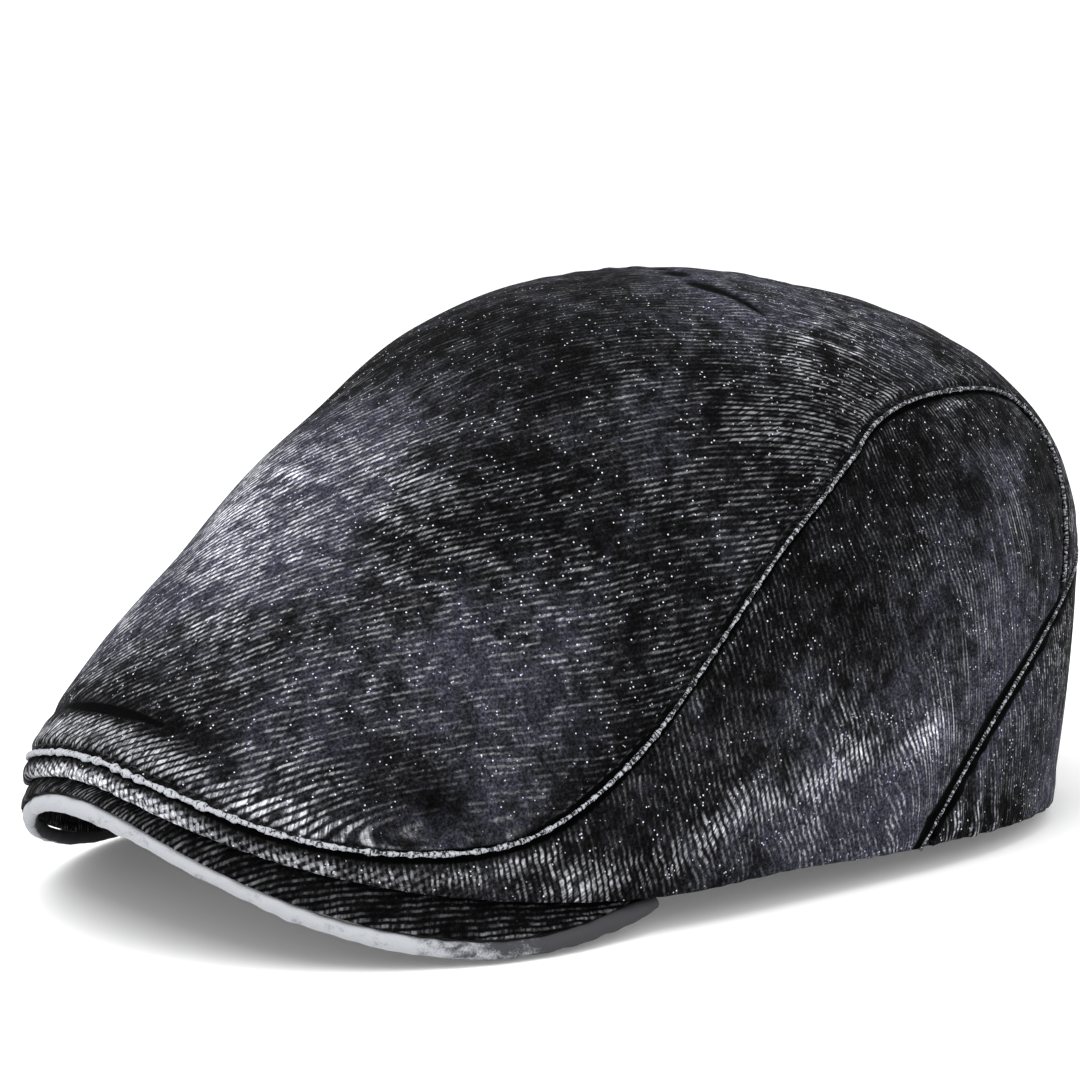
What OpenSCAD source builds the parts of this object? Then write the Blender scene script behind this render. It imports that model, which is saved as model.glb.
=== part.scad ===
// Flat cap of washed denim: a large top panel sewn down over a short arched visor, two side panels
// and an arched back panel, with a lining, a sweatband and an adjustable strap at the back.
// The front of the cap points along -Y, the wearer's left along +X, and it stands on z = 0.

/* [Crown rim] */
// Half the width of the crown at its rim
crown_half_width = 77; // [72:0.5:82]
// Distance from the widest line forward to the front of the rim
crown_front_reach = 160; // [150:1:170]
// Distance from the widest line back to the rear of the rim
crown_rear_reach = 101.5; // [96:0.5:106]
// Height of the crown above the table
crown_height = 131.5; // [125:0.5:138]
// Height of the rim at the front, where it lies on the visor
rim_front_lift = 33.5; // [30:0.5:36]
// Height of the rim above the table at the sides
rim_side_lift = 5.7; // [4:0.1:8]

/* [Crown profile] */
// Handles of the front profile: low out, low up, high out, high up, run of the top
front_handles = [1.5, 13.5, -58.5, 41.5, 70]; // [-60:0.5:95]
// Handles of the side profile
side_handles = [1.5, 31.5, -5.5, 91.5, 69]; // [-60:0.5:95]
// Handles of the rear profile
rear_handles = [10, 92, 36.5, 89, 78.5]; // [-60:0.5:95]

/* [Visor] */
// Half the width of the visor at its corners
visor_half_width = 76.5; // [74:0.5:77]
// Distance from the visor's corners forward to the middle of its edge
visor_reach = 99; // [96:0.5:102]
// Rise of the middle of the visor's edge above its corners
visor_arch = 27; // [22:0.5:28]
// Thickness of the plastic board inside the visor
visor_board_t = 1.5; // [1:0.1:2]
// Radius of the rolled edge binding
binding_r = 1.8; // [1.6:0.1:2]
// How far the visor's corners are tucked in under the crown
corner_tuck = 7; // [6:0.5:8]
// How far the visor's corners are lifted towards the crown
corner_lift = 5; // [4:0.5:6]

/* [Fabric] */
// Thickness of the denim with its backing
denim_t = 1.4; // [1:0.1:1.8]
// Thickness of the lining
lining_t = 0.5; // [0.3:0.1:0.8]
// Height of the sweatband
sweatband_h = 28; // [22:1:32]
// Thickness of the sweatband
sweatband_t = 1.2; // [0.8:0.1:1.6]
// Height of the tape that backs the hem
hem_h = 10; // [6:1:12]
// Width of the lapped edge along the crown seam
welt_w = 2.6; // [2:0.1:3]

/* [Adjuster] */
// Width of the strap
strap_w = 18; // [14:1:20]
// Thickness of the strap
strap_t = 1.4; // [1:0.1:1.6]
// Radius of the strap's path around the back of the head
strap_r = 108; // [104:1:112]
// Diameter of the clasp's hinge pin
pin_d = 1.6; // [1.2:0.1:1.8]
// Thickness of the clasp's sheet metal
clasp_t = 0.8; // [0.6:0.1:1]

/* [Hidden] */

denim = [0.13, 0.13, 0.15];
denim_edge = [0.42, 0.43, 0.45];
binding_grey = [0.66, 0.67, 0.69];
satin = [0.07, 0.07, 0.08];
old_brass = [0.42, 0.34, 0.2];

widest_y = 25.4;
apex_y = widest_y - 3.5;
corner_y = widest_y - 62;
// Clearance between loose layers, and between layers that are sewn together
gap = 0.3;
seam_gap = 0.2;

// How square the rim is in front and behind, how sharply it arches over the visor, and the small rise
// of the hem behind each corner of the visor
front_roundness = 2.54;
rear_roundness = 2.65;
rim_arch_power = 2.84;
hem_rise = 1.7;
hem_rise_at = 79;
hem_rise_width = 8.5;

// Room between the face of the denim and the pieces that lie inside it
hem_depth = denim_t + gap;
hem_t = 0.6;
lining_depth = hem_depth + hem_t + 0.2;
band_depth = lining_depth + lining_t + gap;

// ---- Curves and grids ----

function mix(a, b, k) = a + (b - a) * k;
function unit(v) = v / norm(v);
function flat(v) = [v.x, v.y, 0];
function backwards(points) = [for (i = [len(points) - 1 : -1 : 0]) points[i]];
function opposite(points) = [for (p = points) [-p.x, p.y]];
function mirrored(points) = opposite(backwards(points));
function joined(a, b) = concat(a, [for (i = [1 : len(b) - 1]) b[i]]);

// Smooth curve through a list of points, k from 0 to 1
function curve(p, k) =
    let (
        n = len(p) - 1,
        i = min(floor(k * n), n - 1),
        f = k * n - i,
        a = i > 0 ? p[i - 1] : 2 * p[0] - p[1],
        d = i + 2 <= n ? p[i + 2] : 2 * p[n] - p[n - 1],
        b = p[i],
        c = p[i + 1]
    )
    b + ((c - a) * f + (2 * a - 5 * b + 4 * c - d) * f * f + (3 * b - a - 3 * c + d) * f * f * f) / 2;

// Patch bounded by four curves: near and far run across it, left and right run along it. Its rows
// and columns cover the stated shares of its length and width
function patch(near, far, left, right, rows, cols, length = [0.002, 0.998], width = [0.002, 0.998]) = [
    for (i = [0 : rows])
    let (v = mix(length[0], length[1], i / rows), l = curve(left, v), r = curve(right, v)) [
        for (j = [0 : cols])
        let (s = mix(width[0], width[1], j / cols))
        mix(curve(near, s), curve(far, s), v) + mix(l, r, s)
            - mix(mix(near[0], near[len(near) - 1], s), mix(far[0], far[len(far) - 1], s), v)
    ]
];

// Closed sheet between a grid of face points and a grid of back points
module sheet(face, back) {
    rows = len(face);
    cols = len(face[0]);
    points = [for (side = [face, back]) for (row = side) for (p = row) p];
    function at(side, i, j) = side * rows * cols + i * cols + j;
    function quad(a, b, c, d) = [[a, b, c], [a, c, d]];
    faces = concat(
        [for (i = [0 : rows - 2]) for (j = [0 : cols - 2])
            each quad(at(0, i, j), at(0, i, j + 1), at(0, i + 1, j + 1), at(0, i + 1, j))],
        [for (i = [0 : rows - 2]) for (j = [0 : cols - 2])
            each quad(at(1, i + 1, j), at(1, i + 1, j + 1), at(1, i, j + 1), at(1, i, j))],
        [for (j = [0 : cols - 2]) each quad(at(1, 0, j), at(1, 0, j + 1), at(0, 0, j + 1), at(0, 0, j))],
        [for (j = [0 : cols - 2])
            each quad(at(0, rows - 1, j), at(0, rows - 1, j + 1), at(1, rows - 1, j + 1), at(1, rows - 1, j))],
        [for (i = [0 : rows - 2]) each quad(at(0, i, 0), at(0, i + 1, 0), at(1, i + 1, 0), at(1, i, 0))],
        [for (i = [0 : rows - 2])
            each quad(at(1, i, cols - 1), at(1, i + 1, cols - 1), at(0, i + 1, cols - 1), at(0, i, cols - 1))]
    );
    polyhedron(points, faces);
}

// Solid swept through a list of sections with equal numbers of points; a ring when it is closed
module sweep(sections, closed = false) {
    count = len(sections);
    sides = len(sections[0]);
    steps = closed ? count : count - 1;
    points = [for (section = sections) for (p = section) p];
    function at(i, j) = (i % count) * sides + j % sides;
    walls = [
        for (i = [0 : steps - 1]) for (j = [0 : sides - 1])
        each [[at(i, j), at(i, j + 1), at(i + 1, j + 1)], [at(i, j), at(i + 1, j + 1), at(i + 1, j)]]
    ];
    ends = closed ? [] : [
        for (j = [1 : sides - 2])
        each [[at(0, 0), at(0, j + 1), at(0, j)], [at(count - 1, 0), at(count - 1, j), at(count - 1, j + 1)]]
    ];
    polyhedron(points, concat(walls, ends));
}

// ---- The crown's surface ----

// Radius of a superellipse in the direction of a sine and cosine
function polar_radius(s, c, n) = pow(pow(abs(s), n) + pow(abs(c), n), -1 / n);

// A shell: half width, front and rear reach, front and rear roundness, front and side lift, arch power,
// height, and the handles of its front, side and rear profiles
OUTER = [
    crown_half_width, crown_front_reach, crown_rear_reach, front_roundness, rear_roundness,
    rim_front_lift, rim_side_lift, rim_arch_power, crown_height, front_handles, side_handles, rear_handles
];

function bump(x) = exp(-x * x);

// Rim of a shell; u is 0 at the front, 90 on the left and 180 at the rear
function rim(shell, u) =
    let (s = sin(u), c = cos(u), reach = c > 0 ? shell[1] : shell[2])
    let (r = polar_radius(s, c, c > 0 ? shell[3] : shell[4]))
    [
        shell[0] * r * s,
        widest_y - reach * r * c,
        shell[5] * pow(max(c, 0), shell[7]) + shell[6] * s * s
            + hem_rise * bump((acos(c) - hem_rise_at) / hem_rise_width)
    ];

function handles(shell, u) =
    shell[9] * pow(max(cos(u), 0), 2) + shell[10] * pow(sin(u), 2) + shell[11] * pow(max(-cos(u), 0), 2);

// Point of a shell; t is 0 at the rim and 1 at the top
function shell_point(shell, u, t) =
    let (
        foot = rim(shell, u),
        top = [0, apex_y, shell[8]],
        out = unit(flat(foot - top)),
        h = handles(shell, u),
        low = foot + out * h[0] + [0, 0, h[1]],
        high = foot + out * h[2] + [0, 0, h[3]],
        run = top + out * h[4],
        q = 1 - t
    )
    q * q * q * q * foot + 4 * q * q * q * t * low + 6 * q * q * t * t * high
        + 4 * q * t * t * t * run + t * t * t * t * top;

// The same by chart: a flat disc of radius 1 with the top at its middle, the front at +y, the left at +x
function on_shell(shell, d) = shell_point(shell, atan2(d.x, d.y), 1 - norm(d));

function normal(shell, d) =
    let (e = 0.004)
    unit(cross(
        on_shell(shell, d + [0, e]) - on_shell(shell, d - [0, e]),
        on_shell(shell, d + [e, 0]) - on_shell(shell, d - [e, 0])
    ));

function raised(shell, d, h) = on_shell(shell, d) + h * normal(shell, d);

// A sewn panel: a patch of the chart laid on a shell, from depth under its face and thickness inward
module panel(shell, chart, depth, thickness) {
    sheet(
        [for (row = chart) [for (d = row) raised(shell, d, -depth)]],
        [for (row = chart) [for (d = row) raised(shell, d, -depth - thickness)]]
    );
}

// ---- Seams, as curves on the chart ----

front_seam = [[0, 0.92], [0.19, 0.9], [0.37, 0.845], [0.53, 0.765], [0.655, 0.65]];
flank_seam = [
    [0.655, 0.65], [0.728, 0.51], [0.712, 0.35], [0.635, 0.2], [0.525, 0.065], [0.415, -0.04],
    [0.345, -0.17], [0.302, -0.305], [0.355, -0.4], [0.465, -0.436], [0.58, -0.453]
];
rear_seam = [[0.995, -0.1], [0.86, -0.222], [0.715, -0.348], [0.58, -0.453]];
arch_seam = [[0.58, -0.453], [0.4, -0.585], [0.2, -0.675], [0, -0.7]];
crown_seam = joined(front_seam, flank_seam);

// Stretch of the rim; ease above 1 packs its points towards the far end
function rim_chart(from, to, steps, ease = 1) = [
    for (i = [0 : steps])
    let (u = mix(to, from, pow(1 - i / steps, ease))) [sin(u), cos(u)]
];

side_rim = rim_chart(0, 95.7, 14, 1.85);
back_rim = rim_chart(98.5, 180, 10);
back_edge = joined([curve(rear_seam, 0.1), rear_seam[1], rear_seam[2], rear_seam[3]], arch_seam);

// ---- Outer panels ----

module top_panel() {
    front = joined(backwards(front_seam), opposite(front_seam));
    arch = joined(arch_seam, mirrored(arch_seam));
    color(denim)
    panel(OUTER, patch(front, arch, flank_seam, opposite(flank_seam), 34, 26), 0, denim_t);
}

module side_panel() {
    color(denim)
    panel(OUTER, patch(crown_seam, side_rim, [[0, 0.92], [0, 1]], backwards(rear_seam),
        9, 44, [0.01, 1]), 0, denim_t);
}

module back_panel() {
    color(denim)
    panel(OUTER, patch(back_edge, back_rim, [back_edge[0], back_rim[0]], [[0, -0.7], [0, -1]],
        8, 24, [0.01, 1], [0.01, 0.998]), 0, denim_t);
}

// Keeps the underside of a seam's ridge off the curved cloth beneath it
ridge_lift = 0.15;

// A ridge along a seam: a half round of width w and height h on the face of the crown
module seam_ridge(line, steps, w, h) {
    chart = [for (i = [0 : steps]) curve(line, i / steps)];
    path = [for (d = chart) on_shell(OUTER, d)];
    sweep([
        for (i = [0 : steps])
        let (
            n = normal(OUTER, chart[i]),
            along = path[min(i + 1, steps)] - path[max(i - 1, 0)],
            side = unit(cross(along, n))
        ) [for (a = [0 : 45 : 180]) path[i] + side * cos(a) * w / 2 + n * (ridge_lift + sin(a) * h)]
    ]);
}

module crown_seam_welt() {
    left = [for (i = [0 : 40]) curve(crown_seam, i / 40 * 0.985)];
    color(denim_edge)
    seam_ridge(joined(mirrored(left), left), 120, welt_w, 0.9);
}

module rear_seam_welt() {
    left = joined(rear_seam, arch_seam);
    color(denim_edge)
    seam_ridge(joined(left, mirrored(left)), 72, 2, 0.7);
}

// Tape behind the hem, from one visor corner around the back to the other
module hem_tape() {
    color(satin)
    sweep([
        for (u = [78 : 4 : 282])
        let (
            h = handles(OUTER, u),
            high = 1 - hem_h / (4 * norm([h[0], h[1]])),
            low = [sin(u), cos(u)],
            top = low * high,
            foot = [0, 0, rim(OUTER, u).z]
        ) [
            flat(raised(OUTER, low, -hem_depth)) + foot, raised(OUTER, top, -hem_depth),
            raised(OUTER, top, -hem_depth - hem_t), flat(raised(OUTER, low, -hem_depth - hem_t)) + foot
        ]
    ]);
}

// ---- Head opening: lining, sweatband and label ----

// The inner shell keeps band_depth inside the crown at the sides and rear and stops short of the visor's
// front, where the forehead goes
function inner_shell(depth) = [
    crown_half_width - depth, 116.5 - depth, crown_rear_reach - depth, 2.2, rear_roundness,
    28, rim_side_lift, 5, crown_height - denim_t - 1.2 - depth,
    [-2, 22, -24, 60, 60], [1, 31, -6, 88, 66], [8, 88, 34, 84, 74]
];
lining_split = 0.55;
LINING = inner_shell(lining_depth);
BAND = inner_shell(band_depth);

function lining_chart(from, to, low, high, rows, cols) = [
    for (i = [0 : rows]) [
        for (j = [0 : cols])
        let (u = mix(from, to, j / cols)) mix(low, high, i / rows) * [sin(u), cos(u)]
    ]
];

module lining_top() {
    front = [for (u = [45 : -15 : -45]) lining_split * [sin(u), cos(u)]];
    left = [for (u = [45 : 15 : 135]) lining_split * [sin(u), cos(u)]];
    rear = [for (p = front) [p.x, -p.y]];
    color(satin)
    panel(LINING, patch(front, rear, left, opposite(left), 16, 16), 0, lining_t);
}

module lining_side() {
    color(satin)
    panel(LINING, lining_chart(0.3, 179.7, lining_split + 0.006, 0.965, 8, 30), 0, lining_t);
}

// Section of a strip that lies inside the head opening, between two heights above the rim
function band_section(u, depth, thickness, low, high) =
    let (
        h = handles(BAND, u),
        rise = 4 * norm([h[0], h[1]]),
        levels = [for (z = [low, (low + high) / 2, high]) (1 - z / rise) * [sin(u), cos(u)]]
    )
    concat(
        [for (i = [0 : 2]) raised(BAND, levels[i], -depth)],
        [for (i = [2 : -1 : 0]) raised(BAND, levels[i], -depth - thickness)]
    );

module sweatband() {
    color([0.05, 0.05, 0.055])
    sweep([for (u = [0 : 4 : 356]) band_section(u, 0, sweatband_t, 1.2, sweatband_h)], closed = true);
}

module size_label() {
    color([0.8, 0.8, 0.78])
    sweep([for (u = [170 : 4 : 190]) band_section(u, sweatband_t + 0.2, 0.3, 7, 22)]);
}

// ---- Visor ----

visor_roundness = 1.98;
visor_arch_power = 4.1;
tuck_from = 60;
tuck_power = 1.8;
foot_z = binding_r - 0.4;
root_turn = 58;
root_out = 2.5;
pass_at = 0.3;

// How much of the tuck is reached; phi runs from -90 at the right corner to 90 at the left one
function tucked(phi) = pow(max(abs(phi) - tuck_from, 0) / (90 - tuck_from), tuck_power);

// Middle of the rolled edge. The corners are tucked up and in under the rim of the crown
function visor_edge(phi) =
    let (s = sin(phi), c = cos(phi), r = polar_radius(s, c, visor_roundness), tuck = tucked(phi)) [
        visor_half_width * r * s - sign(phi) * corner_tuck * tuck,
        corner_y - visor_reach * r * c,
        foot_z + visor_arch * pow(max(c, 0), visor_arch_power) + corner_lift * tuck
    ];

// Where the visor is sewn to the sweatband
function visor_root(phi) =
    let (u = phi * root_turn / 90, p = rim(BAND, u), out = unit(flat(p - [0, apex_y, 0])))
    p + out * root_out + [0, 0, 0.5];

// The visor passes just inside the lower edge of the crown, and runs level at its tucked corners
function visor_pass(phi, edge, root) =
    let (
        u = atan2(edge.x / crown_half_width, (widest_y - edge.y) / crown_front_reach),
        p = rim(OUTER, u),
        out = unit(flat(p - [0, corner_y, 0])),
        inside = p - out * (denim_t + 2.2) - [0, 0, 0.8]
    )
    mix(inside, mix(edge, root, pass_at), tucked(phi));

// Middle surface of the visor; s is 0 at the edge and 1 at the root
function visor_point(phi, s) =
    let (
        edge = visor_edge(phi),
        root = visor_root(phi),
        k = pass_at,
        crest = (visor_pass(phi, edge, root) - (1 - k) * (1 - k) * edge - k * k * root) / (2 * k * (1 - k))
    )
    (1 - s) * (1 - s) * edge + 2 * s * (1 - s) * crest + s * s * root;

function visor_normal(phi, s) =
    let (
        along = visor_point(phi + 0.5, s) - visor_point(phi - 0.5, s),
        inward = visor_point(phi, s + 0.01) - visor_point(phi, s - 0.01)
    )
    unit(cross(along, inward));

// One layer of the visor, from h to h + thickness above its middle surface
module visor_layer(h, thickness) {
    clear = binding_r + 0.4;
    grid = [
        for (i = [-22 : 22])
        let (
            phi = i * 88 / 22,
            start = clear / (100 * norm(visor_point(phi, 0.01) - visor_edge(phi)))
        ) [for (j = [0 : 7]) [phi, mix(start, 0.99, j / 7)]]
    ];
    sheet(
        [for (row = grid) [for (g = row) visor_point(g.x, g.y) + (h + thickness) * visor_normal(g.x, g.y)]],
        [for (row = grid) [for (g = row) visor_point(g.x, g.y) + h * visor_normal(g.x, g.y)]]
    );
}

cover_t = 0.6;

module visor_board() {
    color([0.2, 0.2, 0.2])
    visor_layer(-visor_board_t / 2, visor_board_t);
}

module visor_upper_cover() {
    color(denim)
    visor_layer(visor_board_t / 2 + seam_gap, cover_t);
}

module visor_lower_cover() {
    color(denim)
    visor_layer(-visor_board_t / 2 - seam_gap - cover_t, cover_t);
}

module visor_edge_binding() {
    color(binding_grey)
    sweep([
        for (phi = [-88 : 2 : 88])
        let (
            p = visor_edge(phi),
            along = visor_edge(phi + 0.5) - visor_edge(phi - 0.5),
            up = unit(cross(cross(along, [0, 0, 1]), along)),
            side = unit(cross(along, up))
        ) [for (a = [0 : 36 : 324]) p + binding_r * (cos(a) * side + sin(a) * up)]
    ]);
}

// ---- Adjuster at the back ----

strap_z = 15;
strap_lean = 8;
strap_inner_y = widest_y + crown_rear_reach + 5.4;

// Frame of the adjuster: its origin is the middle of the strap's inner face, and its axis leans
// with the back of the crown
module at_back() {
    translate([0, strap_inner_y, strap_z])
    rotate([-strap_lean, 0, 0])
    children();
}

// A band of a ring about the strap's axis: angles from the middle, towards the wearer's left
module band(from, to, inner, thickness, width) {
    translate([0, -strap_r, -width / 2])
    rotate([0, 0, 90 - to])
    rotate_extrude(angle = to - from, $fn = 180)
    translate([strap_r + inner, 0])
    square([thickness, width]);
}

module adjuster_strap() {
    color(denim)
    at_back()
    band(-15.5, 22, 0, strap_t, strap_w);
}

// A flat sleeve of two plies around the strap
module sleeve(from, to, ply) {
    at_back()
    difference() {
        band(from, to, -gap - ply, strap_t + 2 * gap + 2 * ply, strap_w + 2 * gap + 2 * ply);
        band(from - 1, to + 1, -gap, strap_t + 2 * gap, strap_w + 2 * gap);
    }
}

module strap_channel() {
    color(denim)
    sleeve(6.5, 22.5, 0.8);
}

module strap_keeper() {
    color(denim)
    sleeve(-14.5, -11.5, 0.8);
}

// ---- Clasp ----

clasp_angle = -3.5;
clasp_l = 16;
clasp_inside = strap_w + 2.4;
base_y = -1.4;
pin_x = 5.4;
pin_y = 3.2;
knuckle_r = 1.45;
lever_y = 2.3;
running_gap = 0.05;

// Frame of the clasp: x along the strap, y outward, its middle at the strap's inner face
module at_clasp() {
    at_back()
    translate([0, -strap_r, 0])
    rotate([0, 0, -clasp_angle])
    translate([0, strap_r, 0])
    children();
}

// A fabric tab sewn to the crown, which runs under the end of the clasp
module clasp_tab() {
    color(denim)
    at_back()
    band(-14.2, -5.6, base_y - seam_gap - 0.8, 0.8, strap_w - 2);
}

// A cheek of the clasp's base, flat, with the hole for the pin
module cheek_outline() {
    difference() {
        union() {
            translate([-clasp_l / 2, base_y])
            square([clasp_l, 3.2]);
            translate([pin_x - 2, base_y])
            square([4, pin_y - base_y]);
            translate([pin_x, pin_y])
            circle(r = 2.2, $fn = 40);
        }
        translate([pin_x, pin_y])
        circle(r = pin_d / 2 + running_gap, $fn = 32);
    }
}

module clasp_base() {
    color(old_brass)
    at_clasp()
    union() {
        translate([-clasp_l / 2, base_y, -clasp_inside / 2])
        cube([clasp_l, clasp_t, clasp_inside]);
        for (z = [-clasp_inside / 2 - clasp_t, clasp_inside / 2])
            translate([0, 0, z])
            linear_extrude(clasp_t)
            cheek_outline();
    }
}

module clasp_pin() {
    color(old_brass)
    at_clasp()
    translate([pin_x, pin_y, 0])
    union() {
        cylinder(d = pin_d, h = clasp_inside + 2 * clasp_t + 0.8, center = true, $fn = 32);
        for (z = [-1, 1])
            translate([0, 0, z * (clasp_inside / 2 + clasp_t + 0.4)])
            cylinder(d = pin_d + 0.8, h = 0.6, center = true, $fn = 32);
    }
}

// The lever's section: knuckle, lobe that pinches the strap, plate and turned-up tip
module lever_outline() {
    difference() {
        union() {
            translate([pin_x, pin_y])
            circle(r = knuckle_r, $fn = 40);
            translate([-clasp_l / 2, lever_y])
            square([clasp_l / 2 + pin_x, clasp_t]);
            translate([-clasp_l / 2, lever_y + clasp_t])
            circle(r = clasp_t, $fn = 32);
        }
        translate([pin_x, pin_y])
        circle(r = pin_d / 2 + running_gap, $fn = 32);
    }
}

module clasp_lever() {
    color(old_brass)
    at_clasp()
    translate([0, 0, -clasp_inside / 2 + gap])
    linear_extrude(clasp_inside - 2 * gap)
    lever_outline();
}

top_panel();
side_panel();  // side_panel_left
mirror([1, 0, 0]) side_panel();  // side_panel_right
back_panel();  // back_panel_left
mirror([1, 0, 0]) back_panel();  // back_panel_right
crown_seam_welt();
rear_seam_welt();
hem_tape();
visor_board();
visor_upper_cover();
visor_lower_cover();
visor_edge_binding();
lining_top();
lining_side();  // lining_left
mirror([1, 0, 0]) lining_side();  // lining_right
sweatband();
size_label();
strap_channel();
adjuster_strap();
strap_keeper();
clasp_tab();
clasp_base();
clasp_pin();
clasp_lever();
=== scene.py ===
"""Looks of the flat cap: sewn cloth shells, seams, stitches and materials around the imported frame.

Lengths are in millimetres until a mesh is made. The front of the cap points along -Y, the wearer's
left along +X, and it stands on z = 0.
"""

import math
from dataclasses import dataclass

import bmesh
import bpy
import numpy as np
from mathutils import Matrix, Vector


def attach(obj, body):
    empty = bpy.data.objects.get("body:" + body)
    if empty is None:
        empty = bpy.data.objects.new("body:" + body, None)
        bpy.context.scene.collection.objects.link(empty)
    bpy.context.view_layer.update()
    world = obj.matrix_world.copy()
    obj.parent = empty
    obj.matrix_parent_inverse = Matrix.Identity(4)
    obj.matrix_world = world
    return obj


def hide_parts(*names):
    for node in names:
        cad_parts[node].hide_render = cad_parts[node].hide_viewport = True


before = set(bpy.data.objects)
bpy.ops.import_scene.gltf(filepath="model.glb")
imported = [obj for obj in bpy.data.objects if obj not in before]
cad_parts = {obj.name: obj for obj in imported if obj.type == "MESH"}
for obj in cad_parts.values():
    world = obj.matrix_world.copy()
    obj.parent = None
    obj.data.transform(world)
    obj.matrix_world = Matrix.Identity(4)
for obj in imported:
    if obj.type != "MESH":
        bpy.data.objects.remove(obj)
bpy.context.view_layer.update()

MM = 0.001

# ---- Camera, light and floor ----

VIEW_AZIMUTH = math.radians(48.4)
VIEW_ELEVATION = math.radians(8.3)
VIEW_DISTANCE = 0.7194
VIEW_AIM = (-0.0073, -0.0026, 0.0699)
LENS_MM = 103.6


def towards(azimuth, elevation):
    """Unit vector from the cap towards a viewer"""
    level = math.cos(elevation)
    return np.array([math.sin(azimuth) * level, -math.cos(azimuth) * level, math.sin(elevation)])


def face_along(item, direction):
    """Turns a camera or light so that it looks back along a direction"""
    quaternion = Vector(direction).to_track_quat("Z", "Y")
    item.rotation_euler = quaternion.to_euler()


def new_object(name, data):
    item = bpy.data.objects.new(name, data)
    bpy.context.scene.collection.objects.link(item)
    return item


def add_camera():
    data = bpy.data.cameras.new("camera")
    data.lens = LENS_MM
    data.sensor_width = 36
    data.clip_start = 0.01
    camera = new_object("camera", data)
    direction = towards(VIEW_AZIMUTH, VIEW_ELEVATION)
    camera.location = np.array(VIEW_AIM) + VIEW_DISTANCE * direction
    face_along(camera, direction)
    bpy.context.scene.camera = camera


def add_light(name, azimuth, elevation, distance, size, power):
    data = bpy.data.lights.new(name, "AREA")
    data.size = size
    data.energy = power
    light = new_object(name, data)
    direction = towards(math.radians(azimuth), math.radians(elevation))
    light.location = direction * distance
    face_along(light, direction)


def add_stage():
    world = bpy.data.worlds.new("studio")
    world.use_nodes = True
    sky = world.node_tree.nodes["Background"].inputs
    sky["Color"].default_value = (1, 1, 1, 1)
    sky["Strength"].default_value = 1.08
    bpy.context.scene.world = world
    bpy.context.scene.view_settings.view_transform = "Standard"
    add_light("key", azimuth=5, elevation=62, distance=1.6, size=1.1, power=16)
    add_light("fill", azimuth=95, elevation=30, distance=1.8, size=1.4, power=4)

    mesh = bpy.data.meshes.new("floor")
    reach = 6.0
    corners = [(-reach, -reach, 0), (reach, -reach, 0), (reach, reach, 0), (-reach, reach, 0)]
    mesh.from_pydata(corners, [], [(0, 1, 2, 3)])
    floor = new_object("floor", mesh)
    floor.data.materials.append(glowing_floor())


def glowing_floor():
    material = bpy.data.materials.new("floor")
    material.use_nodes = True
    shader = material.node_tree.nodes["Principled BSDF"]
    shader.inputs["Base Color"].default_value = (0.93, 0.93, 0.93, 1)
    shader.inputs["Roughness"].default_value = 0.9
    # The floor glows a little: painted light that lifts the cap's shadow on it and the shade under the
    # visor
    shader.inputs["Emission Color"].default_value = (1, 1, 1, 1)
    shader.inputs["Emission Strength"].default_value = 0.12
    return material


# ---- Curves ----


def curve(points, share):
    """Smooth curve through a few points; share runs from 0 to 1"""
    points = np.asarray(points, float)
    last = len(points) - 1
    ends = np.vstack([2 * points[0] - points[1], points, 2 * points[-1] - points[-2]])
    place = np.asarray(share, float) * last
    index = np.minimum(place.astype(int), last - 1)
    f = (place - index)[..., None]
    a, b, c, d = (ends[index + k] for k in range(4))
    return b + ((c - a) * f + (2 * a - 5 * b + 4 * c - d) * f**2 + (3 * b - a - 3 * c + d) * f**3) / 2


def opposite(points):
    return [(-x, y) for x, y in points]


def joined(first, second):
    return list(first) + list(second)[1:]


def packed(count, squeeze=0.6):
    """Steps from 0 to 1 that lie closer together at both ends"""
    even = np.linspace(0, 1, count)
    return even - squeeze * np.sin(2 * np.pi * even) / (2 * np.pi)


def patch(near, far, left, right, along, across):
    """Grid bounded by four curves: near and far run across it, left and right run along it"""
    v = along[:, None, None]
    s = across[None, :, None]
    sides = curve(left, along)[:, None] * (1 - s) + curve(right, along)[:, None] * s
    ends = curve(near, across)[None] * (1 - v) + curve(far, across)[None] * v
    near, far = np.array(near), np.array(far)
    corners = (near[0] * (1 - s) + near[-1] * s) * (1 - v) + (far[0] * (1 - s) + far[-1] * s) * v
    return ends + sides - corners


def lengths(points, axis):
    """Distance travelled along one axis of a grid of points"""
    steps = np.linalg.norm(np.diff(points, axis=axis), axis=-1)
    start = np.zeros_like(np.take(steps, [0], axis=axis))
    return np.cumsum(np.concatenate([start, steps], axis=axis), axis=axis)


def resampled(values, travelled, places):
    """Rows of values, given at the distances travelled, worked out again at other places"""
    return np.stack([np.interp(places, travelled, column) for column in values.T], -1)


def unit(vectors):
    return vectors / np.linalg.norm(vectors, axis=-1, keepdims=True)


def distance_from(points, place):
    return np.linalg.norm(points - np.array(place), axis=-1)


def compass(turn):
    """Unit vector on the chart; turn is 0 at the front and a quarter on the left"""
    return np.stack([np.sin(turn), np.cos(turn)], -1)


def full_turn(count):
    return np.linspace(0, 2 * np.pi, count, endpoint=False)


def there_and_back(low, high, count):
    there = np.linspace(low, high, count)
    return np.concatenate([there, there[::-1]])


def bell(distance, width):
    return np.exp(-((distance / width) ** 2))


def ripple(points, size, seed):
    """Smooth random relief, mostly between -1 and 1, with bumps about size mm across"""
    rng = np.random.default_rng(seed)
    total = np.zeros(points.shape[:-1])
    waves = 14
    for _ in range(waves):
        direction = unit(rng.normal(size=3))
        length = size * rng.uniform(1.4, 2.8)
        total += np.sin(points @ direction * 2 * np.pi / length + rng.uniform(0, 2 * np.pi))
    return total / math.sqrt(waves)


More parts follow.
